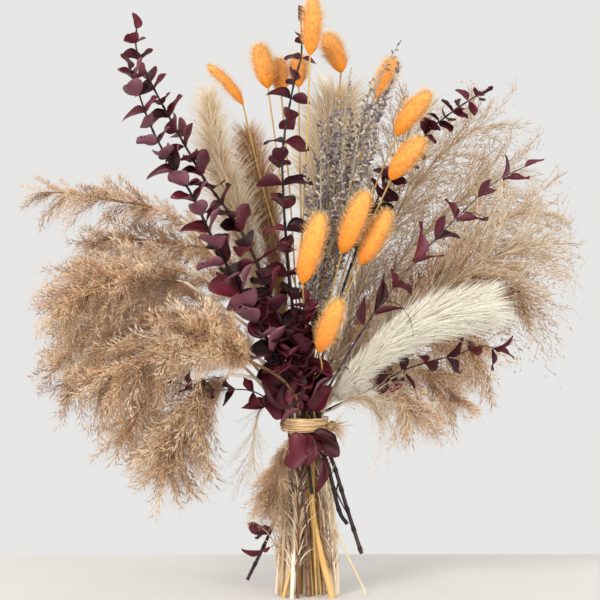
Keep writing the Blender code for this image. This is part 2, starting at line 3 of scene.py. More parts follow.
import bpy
import numpy as np
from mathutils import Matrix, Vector


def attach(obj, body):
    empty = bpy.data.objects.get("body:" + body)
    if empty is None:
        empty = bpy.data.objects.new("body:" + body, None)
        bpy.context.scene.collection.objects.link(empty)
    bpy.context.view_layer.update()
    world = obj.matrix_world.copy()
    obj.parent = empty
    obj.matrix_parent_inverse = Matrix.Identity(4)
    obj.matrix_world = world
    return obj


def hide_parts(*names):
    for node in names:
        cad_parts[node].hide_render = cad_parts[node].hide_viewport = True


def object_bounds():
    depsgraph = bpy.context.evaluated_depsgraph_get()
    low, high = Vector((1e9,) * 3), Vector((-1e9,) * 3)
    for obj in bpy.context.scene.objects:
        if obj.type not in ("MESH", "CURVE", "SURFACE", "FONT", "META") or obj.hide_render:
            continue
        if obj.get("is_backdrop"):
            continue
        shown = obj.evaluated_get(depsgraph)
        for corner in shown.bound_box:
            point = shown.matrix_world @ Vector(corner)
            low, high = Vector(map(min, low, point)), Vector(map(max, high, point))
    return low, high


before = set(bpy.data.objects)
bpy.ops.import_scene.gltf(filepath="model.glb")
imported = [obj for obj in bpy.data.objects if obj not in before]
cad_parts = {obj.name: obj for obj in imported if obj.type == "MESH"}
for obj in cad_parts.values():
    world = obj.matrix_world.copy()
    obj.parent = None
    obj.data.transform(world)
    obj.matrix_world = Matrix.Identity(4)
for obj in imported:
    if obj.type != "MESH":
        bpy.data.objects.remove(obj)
scene = bpy.context.scene
mm = 0.001
stemSides = 7
ringStep = 6 * mm
headStep = 3 * mm
cadLow, cadHigh = (np.array(corner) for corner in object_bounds())
print("frame loaded", len(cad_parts), "nodes")


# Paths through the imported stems.


# Ring centres and radii of a packed stem, from its foot, or from the ring nearest top.
def readTube(name, top=None):
    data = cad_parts[name].data
    co = np.array([v.co for v in data.vertices], float)
    _, first, index = np.unique(np.round(co, 6), axis=0, return_index=True, return_inverse=True)
    index = index.reshape(-1)
    co = co[first]
    near = [set() for _ in co]
    for face in data.polygons:
        corners = [index[v] for v in face.vertices]
        for a in corners:
            near[a].update(corners)
    if top is None:
        ring = set(np.flatnonzero(co[:, 2] < 1e-5))
    else:
        ring = set(np.argsort(np.linalg.norm(co - np.array(top), axis=1))[:6])
    seen = set(ring)
    centres, radii = [], []
    while ring:
        places = co[sorted(ring)]
        centre = places.mean(axis=0)
        centres.append(centre)
        radii.append(np.linalg.norm(places - centre, axis=1).mean())
        ring = {b for a in ring for b in near[a]} - seen
        seen |= ring
    return np.array(centres), np.array(radii)


# The distance from the start of the path to each of its points.
def runAlong(path):
    return np.concatenate([[0], np.cumsum(np.linalg.norm(np.diff(path, axis=0), axis=1))])


# Catmull-Rom curve through the points at an even step, with the values carried along it.
def smooth(points, values=None, step=ringStep):
    points = np.array(points, float)
    values = np.zeros(len(points)) if values is None else np.array(values, float)
    ends = np.vstack([2 * points[0] - points[1], points, 2 * points[-1] - points[-2]])
    fine, carried = [], []
    for i in range(len(points) - 1):
        a, b, c, d = ends[i : i + 4]
        for t in np.linspace(0, 1, 10, endpoint=False):
            fine.append(
                0.5 * (2 * b + (c - a) * t + (2 * a - 5 * b + 4 * c - d) * t**2
                       + (3 * b - a - 3 * c + d) * t**3))
            carried.append(values[i] * (1 - t) + values[i + 1] * t)
    fine = np.array(fine + [points[-1]])
    carried = np.array(carried + [values[-1]])
    run = runAlong(fine)
    places = np.linspace(0, run[-1], max(3, int(run[-1] / step) + 1))
    path = np.stack([np.interp(places, run, fine[:, axis]) for axis in range(3)], axis=1)
    return path, np.interp(places, run, carried), places


# Tangent and two crossing directions at each point of a path, without sudden turns.
def frameAlong(path):
    tangents = np.gradient(path, axis=0)
    tangents /= np.linalg.norm(tangents, axis=1)[:, None]
    side = np.cross(tangents[0], (0.3, 1.0, 0.2))
    sides = []
    for tangent in tangents:
        side = side - tangent * side.dot(tangent)
        side = side / np.linalg.norm(side)
        sides.append(side)
    sides = np.array(sides)
    return tangents, sides, np.cross(tangents, sides)


# Materials: node surfaces that vary with each hair, along it, and with a fine grain.


# Adds a node with these settings and input values. A value that is a socket is linked.
def addNode(tree, kind, values=None, **settings):
    node = tree.nodes.new(kind)
    for key, value in settings.items():
        setattr(node, key, value)
    for key, value in (values or {}).items():
        if isinstance(value, bpy.types.NodeSocket):
            tree.links.new(value, node.inputs[key])
        else:
            node.inputs[key].default_value = value
    return node


plainLook = {"rough": 0.75, "sheen": 0.0, "grain": 0.5, "grainScale": 90.0, "vary": 0.7,
             "bumpScale": 400.0, "stretch": (1.0, 1.0, 1.0)}
# Each blend of a look and the mesh attribute that it follows.
blends = {"rise": "shade", "tip": "along", "underside": "under", "veins": "vein"}
bumpDepth = 0.5 * mm


# The colour runs through the look's list with the hair's own tint and a fine grain.
def makeSurface(name, given):
    look = {**plainLook, **given}
    surface = bpy.data.materials.new(name)
    surface.use_nodes = True
    tree = surface.node_tree
    shader = tree.nodes["Principled BSDF"]
    for key, value in (("Roughness", look["rough"]), ("Sheen Weight", look["sheen"]),
                       ("Sheen Roughness", 0.5), ("Specular IOR Level", 0.3)):
        shader.inputs[key].default_value = value
    place = addNode(tree, "ShaderNodeTexCoord").outputs["Object"]
    tint = addNode(tree, "ShaderNodeAttribute", attribute_name="tint").outputs["Fac"]
    noise = addNode(tree, "ShaderNodeTexNoise", {
        "Vector": place, "Scale": look["grainScale"], "Detail": 4.0}).outputs["Fac"]
    base = 0.5 - 0.5 * look["grain"] - 0.5 * look["vary"]
    own = addNode(tree, "ShaderNodeMath", {0: tint, 1: look["vary"], 2: base},
                  operation="MULTIPLY_ADD").outputs[0]
    share = addNode(tree, "ShaderNodeMath", {0: noise, 1: look["grain"], 2: own},
                    operation="MULTIPLY_ADD").outputs[0]
    ramp = addNode(tree, "ShaderNodeValToRGB", {"Fac": share})
    stops = ramp.color_ramp.elements
    while len(stops) < len(look["colours"]):
        stops.new(0.5)
    for i, colour in enumerate(look["colours"]):
        stops[i].position = i / (len(look["colours"]) - 1)
        stops[i].color = linear(colour)
    last = ramp.outputs["Color"]
    for key, attribute in blends.items():
        if key in look:
            colour, strength = look[key]
            reader = addNode(tree, "ShaderNodeAttribute", attribute_name=attribute).outputs["Fac"]
            amount = addNode(tree, "ShaderNodeMath", {0: reader, 1: strength},
                             operation="MULTIPLY").outputs[0]
            last = addNode(tree, "ShaderNodeMix", {
                "Factor": amount, "A": last, "B": linear(colour)}, data_type="RGBA").outputs["Result"]
    tree.links.new(last, shader.inputs["Base Color"])
    if "bump" in look:
        stretched = addNode(tree, "ShaderNodeMapping", {"Vector": place, "Scale": look["stretch"]})
        streak = addNode(tree, "ShaderNodeTexNoise", {
            "Vector": stretched.outputs["Vector"], "Scale": look["bumpScale"]})
        bump = addNode(tree, "ShaderNodeBump", {
            "Strength": look["bump"], "Distance": bumpDepth, "Height": streak.outputs["Fac"]})
        tree.links.new(bump.outputs["Normal"], shader.inputs["Normal"])
    return surface


# An sRGB colour in parts of 255 as scene-linear RGBA.
def linear(colour):
    shares = [part / 255 for part in colour]
    return [s / 12.92 if s <= 0.04045 else ((s + 0.055) / 1.055) ** 2.4 for s in shares] + [1.0]


# Small shapes that repeat. Each is built once, one unit long along +Z.


# Vertices and faces with the attributes along, under and vein.
class Shape:
    def __init__(self):
        self.co, self.faces, self.along, self.under, self.vein = [], [], [], [], []

    def add(self, places, faces, along, under=None, vein=None):
        start = len(self.co)
        self.co += [tuple(place) for place in places]
        self.faces += [tuple(start + i for i in face) for face in faces]
        self.along += list(along)
        self.under += list(under) if under is not None else [0.0] * len(places)
        self.vein += list(vein) if vein is not None else [0.0] * len(places)

    # A closed hair along the path that ends in a point.
    def hair(self, path, radii, along, sides=3):
        path = np.array(path, float)
        _, across, other = frameAlong(path)
        places, marks = [], []
        for i in range(len(path) - 1):
            for k in range(sides):
                angle = 2 * math.pi * k / sides
                out = math.cos(angle) * across[i] + math.sin(angle) * other[i]
                places.append(path[i] + radii[i] * out)
                marks.append(along[i])
        places.append(path[-1])
        marks.append(along[-1])
        rings = len(path) - 1
        faces = [tuple(reversed(range(sides)))]
        for i in range(rings - 1):
            for k in range(sides):
                a, b = i * sides + k, i * sides + (k + 1) % sides
                faces.append((a, b, b + sides, a + sides))
        last = (rings - 1) * sides
        faces += [(last + k, last + (k + 1) % sides, rings * sides) for k in range(sides)]
        self.add(places, faces, marks)

    # A seed or floret: pointed at both ends.
    def spindle(self, start, end, radius, along, sides=3):
        start, end = np.array(start, float), np.array(end, float)
        axis = end - start
        across = np.cross(axis, (0.31, 0.57, 0.76))
        across /= np.linalg.norm(across)
        other = np.cross(axis, across) / np.linalg.norm(axis)
        middle = start + 0.4 * axis
        places = [start]
        for k in range(sides):
            angle = 2 * math.pi * k / sides
            places.append(middle + radius * (math.cos(angle) * across + math.sin(angle) * other))
        places.append(end)
        faces = []
        for k in range(sides):
            a, b = 1 + k, 1 + (k + 1) % sides
            faces += [(0, b, a), (a, b, sides + 1)]
        self.add(places, faces, [along] * len(places))

    def mesh(self, name):
        data = bpy.data.meshes.new(name)
        data.from_pydata(self.co, [], self.faces)
        for key, values in (("along", self.along), ("under", self.under), ("vein", self.vein)):
            data.attributes.new(key, "FLOAT", "POINT").data.foreach_set("value", values)
        data.shade_smooth()
        return data


# A collection of variants of one small shape.
def makeKit(name, builder, variants, seed):
    rng = np.random.default_rng(seed)
    kit = bpy.data.collections.new(name)
    for i in range(variants):
        shape = Shape()
        builder(shape, rng)
        kit.objects.link(bpy.data.objects.new(f"{name}_{i}", shape.mesh(f"{name}_{i}")))
    return kit


# A bent line one unit long from the origin, mostly along +Z.
def curved(rng, bend, points):
    t = np.linspace(0, 1, points)
    amount = bend * rng.uniform(0.4, 1.3)
    wave = rng.uniform(-0.06, 0.06)
    sway = wave * np.sin(t * 3.1)
    return np.stack([amount * t**2, sway, t * (1 - 0.3 * amount * t)], axis=1)


def makeBristle(thickness, bend, points):
    def build(shape, rng):
        radii = thickness * np.linspace(1.0, 0.35, points)
        shape.hair(curved(rng, bend, points), radii, np.linspace(0, 1, points))

    return build


def placeOn(path, share):
    run = np.linspace(0, 1, len(path))
    return np.array([np.interp(share, run, path[:, axis]) for axis in range(3)])


# A point of a spray and a chance way out of it, which leans between the two angles.
def offshoot(path, share, rng, low, high):
    root = placeOn(path, share)
    ahead = placeOn(path, min(1, share + 0.05)) - placeOn(path, share - 0.05)
    ahead /= np.linalg.norm(ahead)
    out = rng.normal(size=3)
    out -= ahead * out.dot(ahead)
    out /= np.linalg.norm(out)
    lean = rng.uniform(low, high)
    return root, ahead * math.cos(lean) + out * math.sin(lean), out


spikeletCount = 34
seedCount = 11


# A side branch of a reed plume: a thin stalk hung with narrow spikelets and silky hairs.
def makeReedSpray(shape, rng):
    path = curved(rng, 0.22, 6)
    shape.hair(path, 0.008 * np.linspace(1.0, 0.3, 6), np.linspace(0, 0.7, 6))
    for i in range(spikeletCount):
        share = 0.08 + 0.92 * (i + rng.uniform(0, 1)) / spikeletCount
        root, way, out = offshoot(path, share, rng, 0.2, 0.8)
        length = rng.uniform(0.11, 0.24) * (1.15 - 0.4 * share)
        start = root + out * rng.uniform(0, 0.06)
        shape.spindle(start, start + way * length, rng.uniform(0.007, 0.013), share)
        tip = start + way * length * rng.uniform(1.1, 1.9) + out * 0.08
        shape.hair([start, tip], [0.0045, 0], [share, 1.0])


# A side branch of fine grass: a long bent hair with hairlets that end in small seeds.
def makeGrassSpray(shape, rng):
    path = curved(rng, 0.3, 7)
    shape.hair(path, 0.0062 * np.linspace(1.0, 0.4, 7), np.linspace(0, 0.7, 7))
    for i in range(seedCount):
        share = 0.3 + 0.7 * (i + rng.uniform(0, 1)) / seedCount
        root, way, _ = offshoot(path, share, rng, 0.25, 0.7)
        length = rng.uniform(0.1, 0.24)
        middle = root + way * length * 0.6
        end = root + way * length + np.array((0.03, 0, -0.02))
        shape.hair([root, middle, end], [0.0042, 0.0034, 0], [share, share, share])
        shape.spindle(end, end + (end - middle) * 0.5, 0.0085, 1.0)


floretSides = 5
floretRings = ((0.3, 0.16), (0.75, 0.24), (1.0, 0.30))


# A lavender floret: a ribbed cup with short lobes and two thin bracts.
def makeFloret(shape, rng):
    ring = floretSides * 2
    places, marks = [(0, 0, 0)], [0.0]
    for height, radius in floretRings:
        for k in range(ring):
            angle = math.pi * k / floretSides
            wide = radius * (1.0 if k % 2 else 0.7)
            lift = height + (0.12 if k % 2 and height == 1.0 else 0)
            places.append((wide * math.cos(angle), wide * math.sin(angle), lift))
            marks.append(height)
    places.append((0, 0, 0.7))
    marks.append(0.2)
    faces = [(0, 1 + (k + 1) % ring, 1 + k) for k in range(ring)]
    for level in range(2):
        for k in range(ring):
            a, b = 1 + level * ring + k, 1 + level * ring + (k + 1) % ring
            faces.append((a, b, b + ring, a + ring))
    for k in range(ring):
        faces.append((1 + 2 * ring + k, 1 + 2 * ring + (k + 1) % ring, 3 * ring + 1))
    turn = rng.uniform(0, 6)
    c, s = math.cos(turn), math.sin(turn)
    shape.add([(x * c - y * s + 0.1 * z, x * s + y * c, z) for x, y, z in places], faces, marks)
    for _ in range(2):
        angle = rng.uniform(0, 6.28)
        tip = (0.55 * math.cos(angle), 0.55 * math.sin(angle), rng.uniform(0.9, 1.4))
        shape.hair([(0, 0, 0.4), tip], [0.05, 0], [0.8, 1.0])


leafRows, leafColumns = 11, 7
leafHalfThickness = 0.007


# A leaf one unit long along +Z, face towards -X. Two powers set its outline.
def makeLeaf(pointed, broad):
    long, wide = leafRows, leafColumns

    def build(shape, rng):
        bend = rng.uniform(-0.15, 0.35)
        cup = rng.uniform(0.10, 0.5)
        wave = rng.uniform(0.03, 0.09)
        phase = rng.uniform(0, 6.28)
        skew = rng.uniform(-0.08, 0.08)
        top, marks, veins = [], [], []
        for i in range(long):
            u = 0.5 - 0.5 * math.cos(math.pi * i / (long - 1))
            spread = 0.5 * math.sin(math.pi * u**pointed) ** broad + 0.012 * (1 - u)
            for k in range(wide):
                v = 2 * k / (wide - 1) - 1
                y = v * spread + skew * math.sin(math.pi * u)
                x = bend * u * u - cup * v * v * spread - 0.015 * (1 - abs(v)) * (k == wide // 2)
                x += wave * math.sin(phase + 7 * u + 2.5 * v) * abs(v)
                top.append((x, y, u))
                marks.append(u)
                midrib = 1.0 if k == wide // 2 else 0.0
                veins.append(max(midrib, 0.35 * (i % 2) * (1 - abs(v))))
        n = long * wide
        places = [(x + side * leafHalfThickness, y, z) for side in (-1, 1) for x, y, z in top]
        faces = []
        for i in range(long - 1):
            for k in range(wide - 1):
                a = i * wide + k
                quad = (a, a + 1, a + wide + 1, a + wide)
                faces.append(tuple(reversed(quad)))
                faces.append(tuple(n + q for q in quad))
        rim = [i * wide for i in range(long)] + [(long - 1) * wide + k for k in range(1, wide)]
        rim += [i * wide + wide - 1 for i in range(long - 2, -1, -1)] + list(range(wide - 2, 0, -1))
        for a, b in zip(rim, rim[1:] + rim[:1]):
            faces.append((a, n + a, n + b, b))
        shape.add(places, faces, marks * 2, [0.0] * n + [1.0] * n, veins * 2)

    return build


# Geometry node trees.


# A small helper that adds nodes and links them in order.
class Tree:
    def __init__(self, name, inputs):
        self.group = bpy.data.node_groups.new(name, "GeometryNodeTree")
        sockets = self.group.interface
        for way in ("OUTPUT", "INPUT"):
            sockets.new_socket("Geometry", in_out=way, socket_type="NodeSocketGeometry")
        self.keys = {}
        for label, kind in inputs:
            item = sockets.new_socket(label, in_out="INPUT", socket_type="NodeSocket" + kind)
            self.keys[label] = item.identifier
        self.source = self.group.nodes.new("NodeGroupInput").outputs
        self.sink = self.group.nodes.new("NodeGroupOutput").inputs

    def add(self, kind, values=None, **settings):
        return addNode(self.group, kind, values, **settings)

    def end(self, node):
        self.group.links.new(node.outputs[0], self.sink["Geometry"])

    def math(self, operation, first, second=0.0, third=0.0):
        values = {0: first, 1: second, 2: third}
        return self.add("ShaderNodeMath", values, operation=operation).outputs[0]

    def attribute(self, name, kind="FLOAT"):
        reader = self.add("GeometryNodeInputNamedAttribute", {"Name": name}, data_type=kind)
        return reader.outputs["Attribute"]

    def store(self, geometry, name, value, domain):
        return self.add("GeometryNodeStoreNamedAttribute", {
            "Geometry": geometry.outputs[0], "Name": name, "Value": value},
            data_type="FLOAT", domain=domain)

    def chance(self, low, high, seed, offset):
        values = {2: low, 3: high, "Seed": self.math("ADD", seed, offset)}
        return self.add("FunctionNodeRandomValue", values, data_type="FLOAT").outputs[1]

    def paint(self, geometry, material):
        return self.add("GeometryNodeSetMaterial", {
            "Geometry": geometry.outputs[0], "Material": material})

    # Sweeps a ring of this many sides along a curve with these radii.
    def sweep(self, curve, sides, radius):
        ring = self.add("GeometryNodeCurvePrimitiveCircle", {"Resolution": sides, "Radius": 1.0})
        wide = self.add("GeometryNodeSetCurveRadius", {"Curve": curve.outputs[0], "Radius": radius})
        swept = self.add("GeometryNodeCurveToMesh", {
            "Curve": wide.outputs[0], "Profile Curve": ring.outputs[0], "Fill Caps": True})
        if "Scale" in swept.inputs:
            reader = self.add("GeometryNodeInputRadius")
            self.group.links.new(reader.outputs[0], swept.inputs["Scale"])
        return swept


# Sweeps a ring along each line, as wide as its attribute wide.
def makeStemTree():
    tree = Tree("stemTree", [("Sides", "Int"), ("Material", "Material")])
    curve = tree.add("GeometryNodeMeshToCurve", {"Mesh": tree.source["Geometry"]})
    swept = tree.sweep(curve, tree.source["Sides"], tree.attribute("wide"))
    tinted = tree.store(swept, "tint", tree.attribute("shade"), "POINT")
    rounded = tree.add("GeometryNodeSetShadeSmooth", {"Geometry": tinted.outputs[0]})
    real = tree.add("GeometryNodeRealizeInstances", {"Geometry": rounded.outputs[0]})
    tree.end(tree.paint(real, tree.source["Material"]))
    return tree


coreSides = 10


# Covers each line with shapes of a kit that lean out from it and droop with their weight.
def makeCoverTree():
    tree = Tree("coverTree", [
        ("Kit", "Collection"), ("Count", "Int"), ("Seed", "Int"), ("Length", "Float"),
        ("Uneven", "Float"), ("Lean", "Float"), ("Droop", "Float"), ("Core", "Float"),
        ("Widest", "Float"), ("Hair material", "Material"), ("Core material", "Material")])
    source, multiply = tree.source, lambda a, b: tree.math("MULTIPLY", a, b)
    curve = tree.add("GeometryNodeMeshToCurve", {"Mesh": source["Geometry"]})
    points = tree.add("GeometryNodeCurveToPoints", {
        "Curve": curve.outputs[0], "Count": source["Count"]}, mode="COUNT")
    seed = source["Seed"]
    wide = tree.attribute("wide")
    share = tree.math("DIVIDE", wide, source["Widest"])
    # Each shape turns about the line, then leans out from it.
    azimuth = tree.chance(0.0, 2 * math.pi, seed, 1.0)
    spin = tree.add("FunctionNodeAxisAngleToRotation", {"Axis": (0.0, 0.0, 1.0), "Angle": azimuth})
    turned = tree.add("FunctionNodeRotateRotation", {
        "Rotation": points.outputs["Rotation"], "Rotate By": spin.outputs[0]},
        rotation_space="LOCAL")
    leanAngle = multiply(source["Lean"], tree.math("MULTIPLY_ADD", share, 0.65, 0.35))
    leanAngle = multiply(leanAngle, tree.chance(0.45, 1.5, seed, 2.0))
    tilt = tree.add("FunctionNodeAxisAngleToRotation", {
        "Axis": (0.0, 1.0, 0.0), "Angle": leanAngle})
    leaned = tree.add("FunctionNodeRotateRotation", {
        "Rotation": turned.outputs[0], "Rotate By": tilt.outputs[0]}, rotation_space="LOCAL")
    depth = multiply(multiply(wide, source["Core"]), tree.chance(0.5, 1.0, seed, 3.0))
    outward = tree.add("ShaderNodeCombineXYZ", {"X": depth})
    shift = tree.add("FunctionNodeRotateVector", {
        "Vector": outward.outputs[0], "Rotation": turned.outputs[0]})
    moved = tree.add("GeometryNodeSetPosition", {
        "Geometry": points.outputs[0], "Offset": shift.outputs[0]})
    # Lengths vary, and are shorter where the head is thin.
    spread = tree.math("MULTIPLY_ADD", tree.chance(-1.0, 1.0, seed, 4.0), source["Uneven"], 1.0)
    length = multiply(source["Length"], spread)
    length = multiply(length, tree.math("MULTIPLY_ADD", share, 0.55, 0.45))
    kit = tree.add("GeometryNodeCollectionInfo", {
        "Collection": source["Kit"], "Separate Children": True})
    placed = tree.add("GeometryNodeInstanceOnPoints", {
        "Points": moved.outputs[0], "Instance": kit.outputs[0], "Pick Instance": True,
        "Rotation": leaned.outputs[0], "Scale": length})
    tinted = tree.store(placed, "tint", tree.chance(0.0, 1.0, seed, 5.0), "INSTANCE")
    sized = tree.store(tinted, "fall", length, "INSTANCE")
    real = tree.add("GeometryNodeRealizeInstances", {"Geometry": sized.outputs[0]})
    # Tips sink most.
    along = tree.attribute("along")
    fall = multiply(multiply(along, along), tree.attribute("fall"))
    fall = multiply(fall, multiply(source["Droop"], -1.0))
    drop = tree.add("ShaderNodeCombineXYZ", {"Z": fall})
    hung = tree.add("GeometryNodeSetPosition", {
        "Geometry": real.outputs[0], "Offset": drop.outputs[0]})
    swept = tree.sweep(curve, coreSides, multiply(wide, source["Core"]))
    rounded = tree.add("GeometryNodeSetShadeSmooth", {"Geometry": swept.outputs[0]})
    both = tree.add("GeometryNodeJoinGeometry")
    for part, material in ((hung, "Hair material"), (rounded, "Core material")):
        painted = tree.paint(part, source[material])
        tree.group.links.new(painted.outputs[0], both.inputs[0])
    tree.end(both)
    return tree


def makeLeafTree():
    tree = Tree("leafTree", [("Kit", "Collection"), ("Seed", "Int"), ("Material", "Material")])
    kit = tree.add("GeometryNodeCollectionInfo", {
        "Collection": tree.source["Kit"], "Separate Children": True})
    turn = tree.add("FunctionNodeAxesToRotation", {
        0: tree.attribute("aim", "FLOAT_VECTOR"), 1: tree.attribute("face", "FLOAT_VECTOR")},
        primary_axis="Z", secondary_axis="X")
    placed = tree.add("GeometryNodeInstanceOnPoints", {
        "Points": tree.source["Geometry"], "Instance": kit.outputs[0], "Pick Instance": True,
        "Rotation": turn.outputs[0], "Scale": tree.attribute("size", "FLOAT_VECTOR")})
    tinted = tree.store(placed, "tint", tree.chance(0.0, 1.0, tree.source["Seed"], 1.0), "INSTANCE")
    real = tree.add("GeometryNodeRealizeInstances", {"Geometry": tinted.outputs[0]})
    tree.end(tree.paint(real, tree.source["Material"]))
    return tree


# The plain mesh that a tree makes of the data with these inputs.
def grown(tree, data, values):
    holder = bpy.data.objects.new("holder", data)
    modifier = holder.modifiers.new("grow", "NODES")
    modifier.node_group = tree.group
    for label, value in values.items():
        modifier[tree.keys[label]] = value
    scene.collection.objects.link(holder)
    graph = bpy.context.evaluated_depsgraph_get()
    result = bpy.data.meshes.new_from_object(holder.evaluated_get(graph), depsgraph=graph)
    bpy.data.objects.remove(holder)
    return result


# A mesh of separate lines, each (points, widths, shades), with the attributes wide and shade.
def linesMesh(lines):
    co, edges, wide, shade = [], [], [], []
    for points, widths, shades in lines:
        start = len(co)
        co += [tuple(point) for point in points]
        edges += [(start + i, start + i + 1) for i in range(len(points) - 1)]
        wide += [float(width) for width in widths]
        shade += [float(value) for value in shades]
    data = bpy.data.meshes.new("lines")
    data.from_pydata(co, edges, [])
    data.attributes.new("wide", "FLOAT", "POINT").data.foreach_set("value", wide)
    data.attributes.new("shade", "FLOAT", "POINT").data.foreach_set("value", shade)
    return data


# One object at the origin from plain meshes, each with its own material.
def joined(name, meshes):
    parts = [bpy.data.objects.new(name, data) for data in meshes]
    for part in parts:
        scene.collection.objects.link(part)
    if len(parts) > 1:
        with bpy.context.temp_override(
            active_object=parts[0], object=parts[0], selected_objects=parts,
            selected_editable_objects=parts,
        ):
            bpy.ops.object.join()
    piece = parts[0]
    piece.name = name
    keepInside(piece.data)
    return piece


hairRoom = 3 * mm
hairGive = 8 * mm


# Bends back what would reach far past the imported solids' box.
def keepInside(data):
    co = np.zeros(len(data.vertices) * 3, np.float32)
    data.vertices.foreach_get("co", co)
    co = co.reshape(-1, 3)
    for axis in range(3):
        over = np.maximum(co[:, axis] - cadHigh[axis] - hairRoom, 0)
        under = np.maximum(cadLow[axis] - hairRoom - co[:, axis], 0)
        co[:, axis] += -over + hairGive * (1 - np.exp(-over / hairGive))
        co[:, axis] -= -under + hairGive * (1 - np.exp(-under / hairGive))
    co[:, 2] = np.maximum(co[:, 2], 0)
    data.vertices.foreach_set("co", co.reshape(-1))
    data.update()


# Stems along these lines, with one surface.
def stemsOf(lines, surface, sides=stemSides):
    return grown(stemTree, linesMesh(lines), {"Sides": sides, "Material": surface})


def handOver(piece, node):
    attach(piece, "root")
    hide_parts(node)


knuckleLength = 1.6 * mm


# A stem with slight swellings where leaves once grew.
def stemLine(path, widths, rng, knuckle=0.14, between=38 * mm):
    run = runAlong(path)
    start = rng.uniform(0, between)
    away = (run - start + between / 2) % between - between / 2
    swell = np.exp(-((away / knuckleLength) ** 2))
    return path, widths * (1 + knuckle * swell), rng.uniform(0.2, 0.8) - 0.35 * swell


stemTree = makeStemTree()
coverTree = makeCoverTree()
leafTree = makeLeafTree()
print("trees built")


# Plumes on free stems: each kind has its look, its small shape and how they cover the head.

streaky = {"rough": 0.6, "bump": 0.35, "stretch": (6.0, 6.0, 0.6), "grainScale": 60.0}
strawLook = {
    **streaky, "grain": 0.8, "vary": 0.9,
    "colours": [(156, 116, 84), (220, 192, 158), (244, 228, 204), (252, 242, 228)]}
palestStraw = {
    **streaky, "grain": 0.5, "vary": 0.7,
    "colours": [(206, 180, 136), (238, 220, 184), (250, 240, 214)]}

looks = {
    "reed": {
        "slot": "reed_plume", "kit": ("reedSpray", makeReedSpray, 9), "count": 122,
        "length": 42 * mm, "uneven": 0.45, "lean": 0.66, "droop": 0.22, "core": 0.1,
        "trim": 18 * mm, "neck": 92 * mm, "clear": 64 * mm, "behind": -24 * mm,
        "hair": {"colours": [(138, 86, 52), (212, 160, 112), (248, 208, 162), (255, 240, 214)],
                 "tip": ((254, 234, 208), 0.35), "grain": 1.4, "vary": 0.8, "grainScale": 38.0},
        "centre": {"colours": [(150, 108, 72), (190, 146, 100)], "rough": 0.8},
        "stem": strawLook},
    "grass": {
        "slot": "hair_grass", "kit": ("grassSpray", makeGrassSpray, 7), "count": 190,
        "length": 74 * mm, "uneven": 0.4, "lean": 0.44, "droop": 0.26, "core": 0.12,
        "trim": 30 * mm, "neck": 150 * mm, "clear": 34 * mm,
        "hair": {"colours": [(196, 160, 124), (234, 212, 182), (250, 238, 218)],
                 "tip": ((204, 166, 128), 0.4), "grain": 0.9, "vary": 0.8, "grainScale": 36.0},
        "centre": {"colours": [(190, 160, 118), (214, 190, 150)]},
        "stem": strawLook},
    "cream": {
        "slot": "cream_plume", "kit": ("creamHair", makeBristle(0.008, 0.3, 4), 6), "count": 3600,
        "length": 32 * mm, "uneven": 0.45, "lean": 0.46, "droop": 0.12, "core": 0.5,
        "trim": 12 * mm, "neck": 70 * mm, "clear": 70 * mm,
        "hair": {"colours": [(232, 194, 144), (249, 222, 180), (254, 240, 212)],
                 "tip": ((253, 244, 226), 0.5), "grain": 0.5, "vary": 0.8, "sheen": 0.3},
        "centre": {"colours": [(226, 196, 152), (244, 222, 186)]},
        "stem": strawLook},
    "pampas": {
        "slot": "white_pampas", "kit": ("pampasHair", makeBristle(0.007, 0.14, 4), 8),
        "count": 7500, "length": 36 * mm, "uneven": 0.45, "lean": 0.21, "droop": 0.1,
        "core": 0.7, "trim": 30 * mm, "neck": 90 * mm, "clear": 26 * mm,
        "hair": {"colours": [(252, 236, 204), (255, 247, 224), (255, 252, 238)],
                 "tip": ((255, 254, 248), 0.5), "grain": 0.5, "vary": 0.7, "sheen": 0.3},
        "centre": {"colours": [(250, 240, 218), (255, 250, 238)]},
        "stem": palestStraw},
    "tail": {
        "slot": "bunny_tail", "kit": ("tailHair", makeBristle(0.015, 0.18, 3), 6), "count": 1700,
        "length": 8.5 * mm, "uneven": 0.3, "lean": 0.7, "droop": 0.02, "core": 0.84,
        "trim": 3 * mm,
        "hair": {"colours": [(250, 150, 30), (254, 178, 70), (255, 198, 104)],
                 "rise": ((255, 212, 134), 0.6), "tip": ((255, 220, 156), 0.6),
                 "grain": 0.5, "vary": 0.8, "sheen": 0.25},
        "centre": {"colours": [(248, 142, 26), (254, 168, 54)], "rise": ((255, 200, 110), 0.7),
                   "rough": 0.9},
        "stem": {"colours": [(150, 112, 60), (196, 158, 96), (222, 190, 130)], "bump": 0.2}},
    "lavender": {
        "slot": "lavender", "kit": ("floret", makeFloret, 5), "count": 150,
        "length": 4.4 * mm, "uneven": 0.4, "lean": 1.05, "droop": 0.0, "core": 0.22,
        "trim": 0.0, "neck": 90 * mm, "clear": 90 * mm,
        "hair": {"colours": [(92, 76, 84), (142, 126, 130), (184, 172, 158), (232, 216, 184)],
                 "tip": ((150, 138, 150), 0.3), "grain": 0.8, "vary": 1.2, "grainScale": 160.0},
        "centre": {"colours": [(150, 138, 118), (190, 176, 148)]},
        "stem": {"colours": [(120, 104, 84), (164, 148, 120), (196, 180, 146)], "bump": 0.2}},
    "straw": {"slot": "straw", "stem": strawLook},
}
kindOf = {
    "reed_left": "reed", "reed_back": "reed", "reed_tuft": "reed", "reed_right": "reed",
    "hair_grass": "grass", "grass_wisp": "grass", "cream_plume": "cream", "beige_plume": "cream",
    "white_pampas": "pampas", "bunny_tail": "tail", "lavender": "lavender", "straw": "straw",
    "yellow_reed": "straw", "orange_reed": "straw"}
otherKind = {"reed_right_5": "grass", "reed_back_left": "brown"}
brownStraw = {"colours": [(84, 52, 38), (132, 92, 64), (170, 128, 92)], "bump": 0.3}
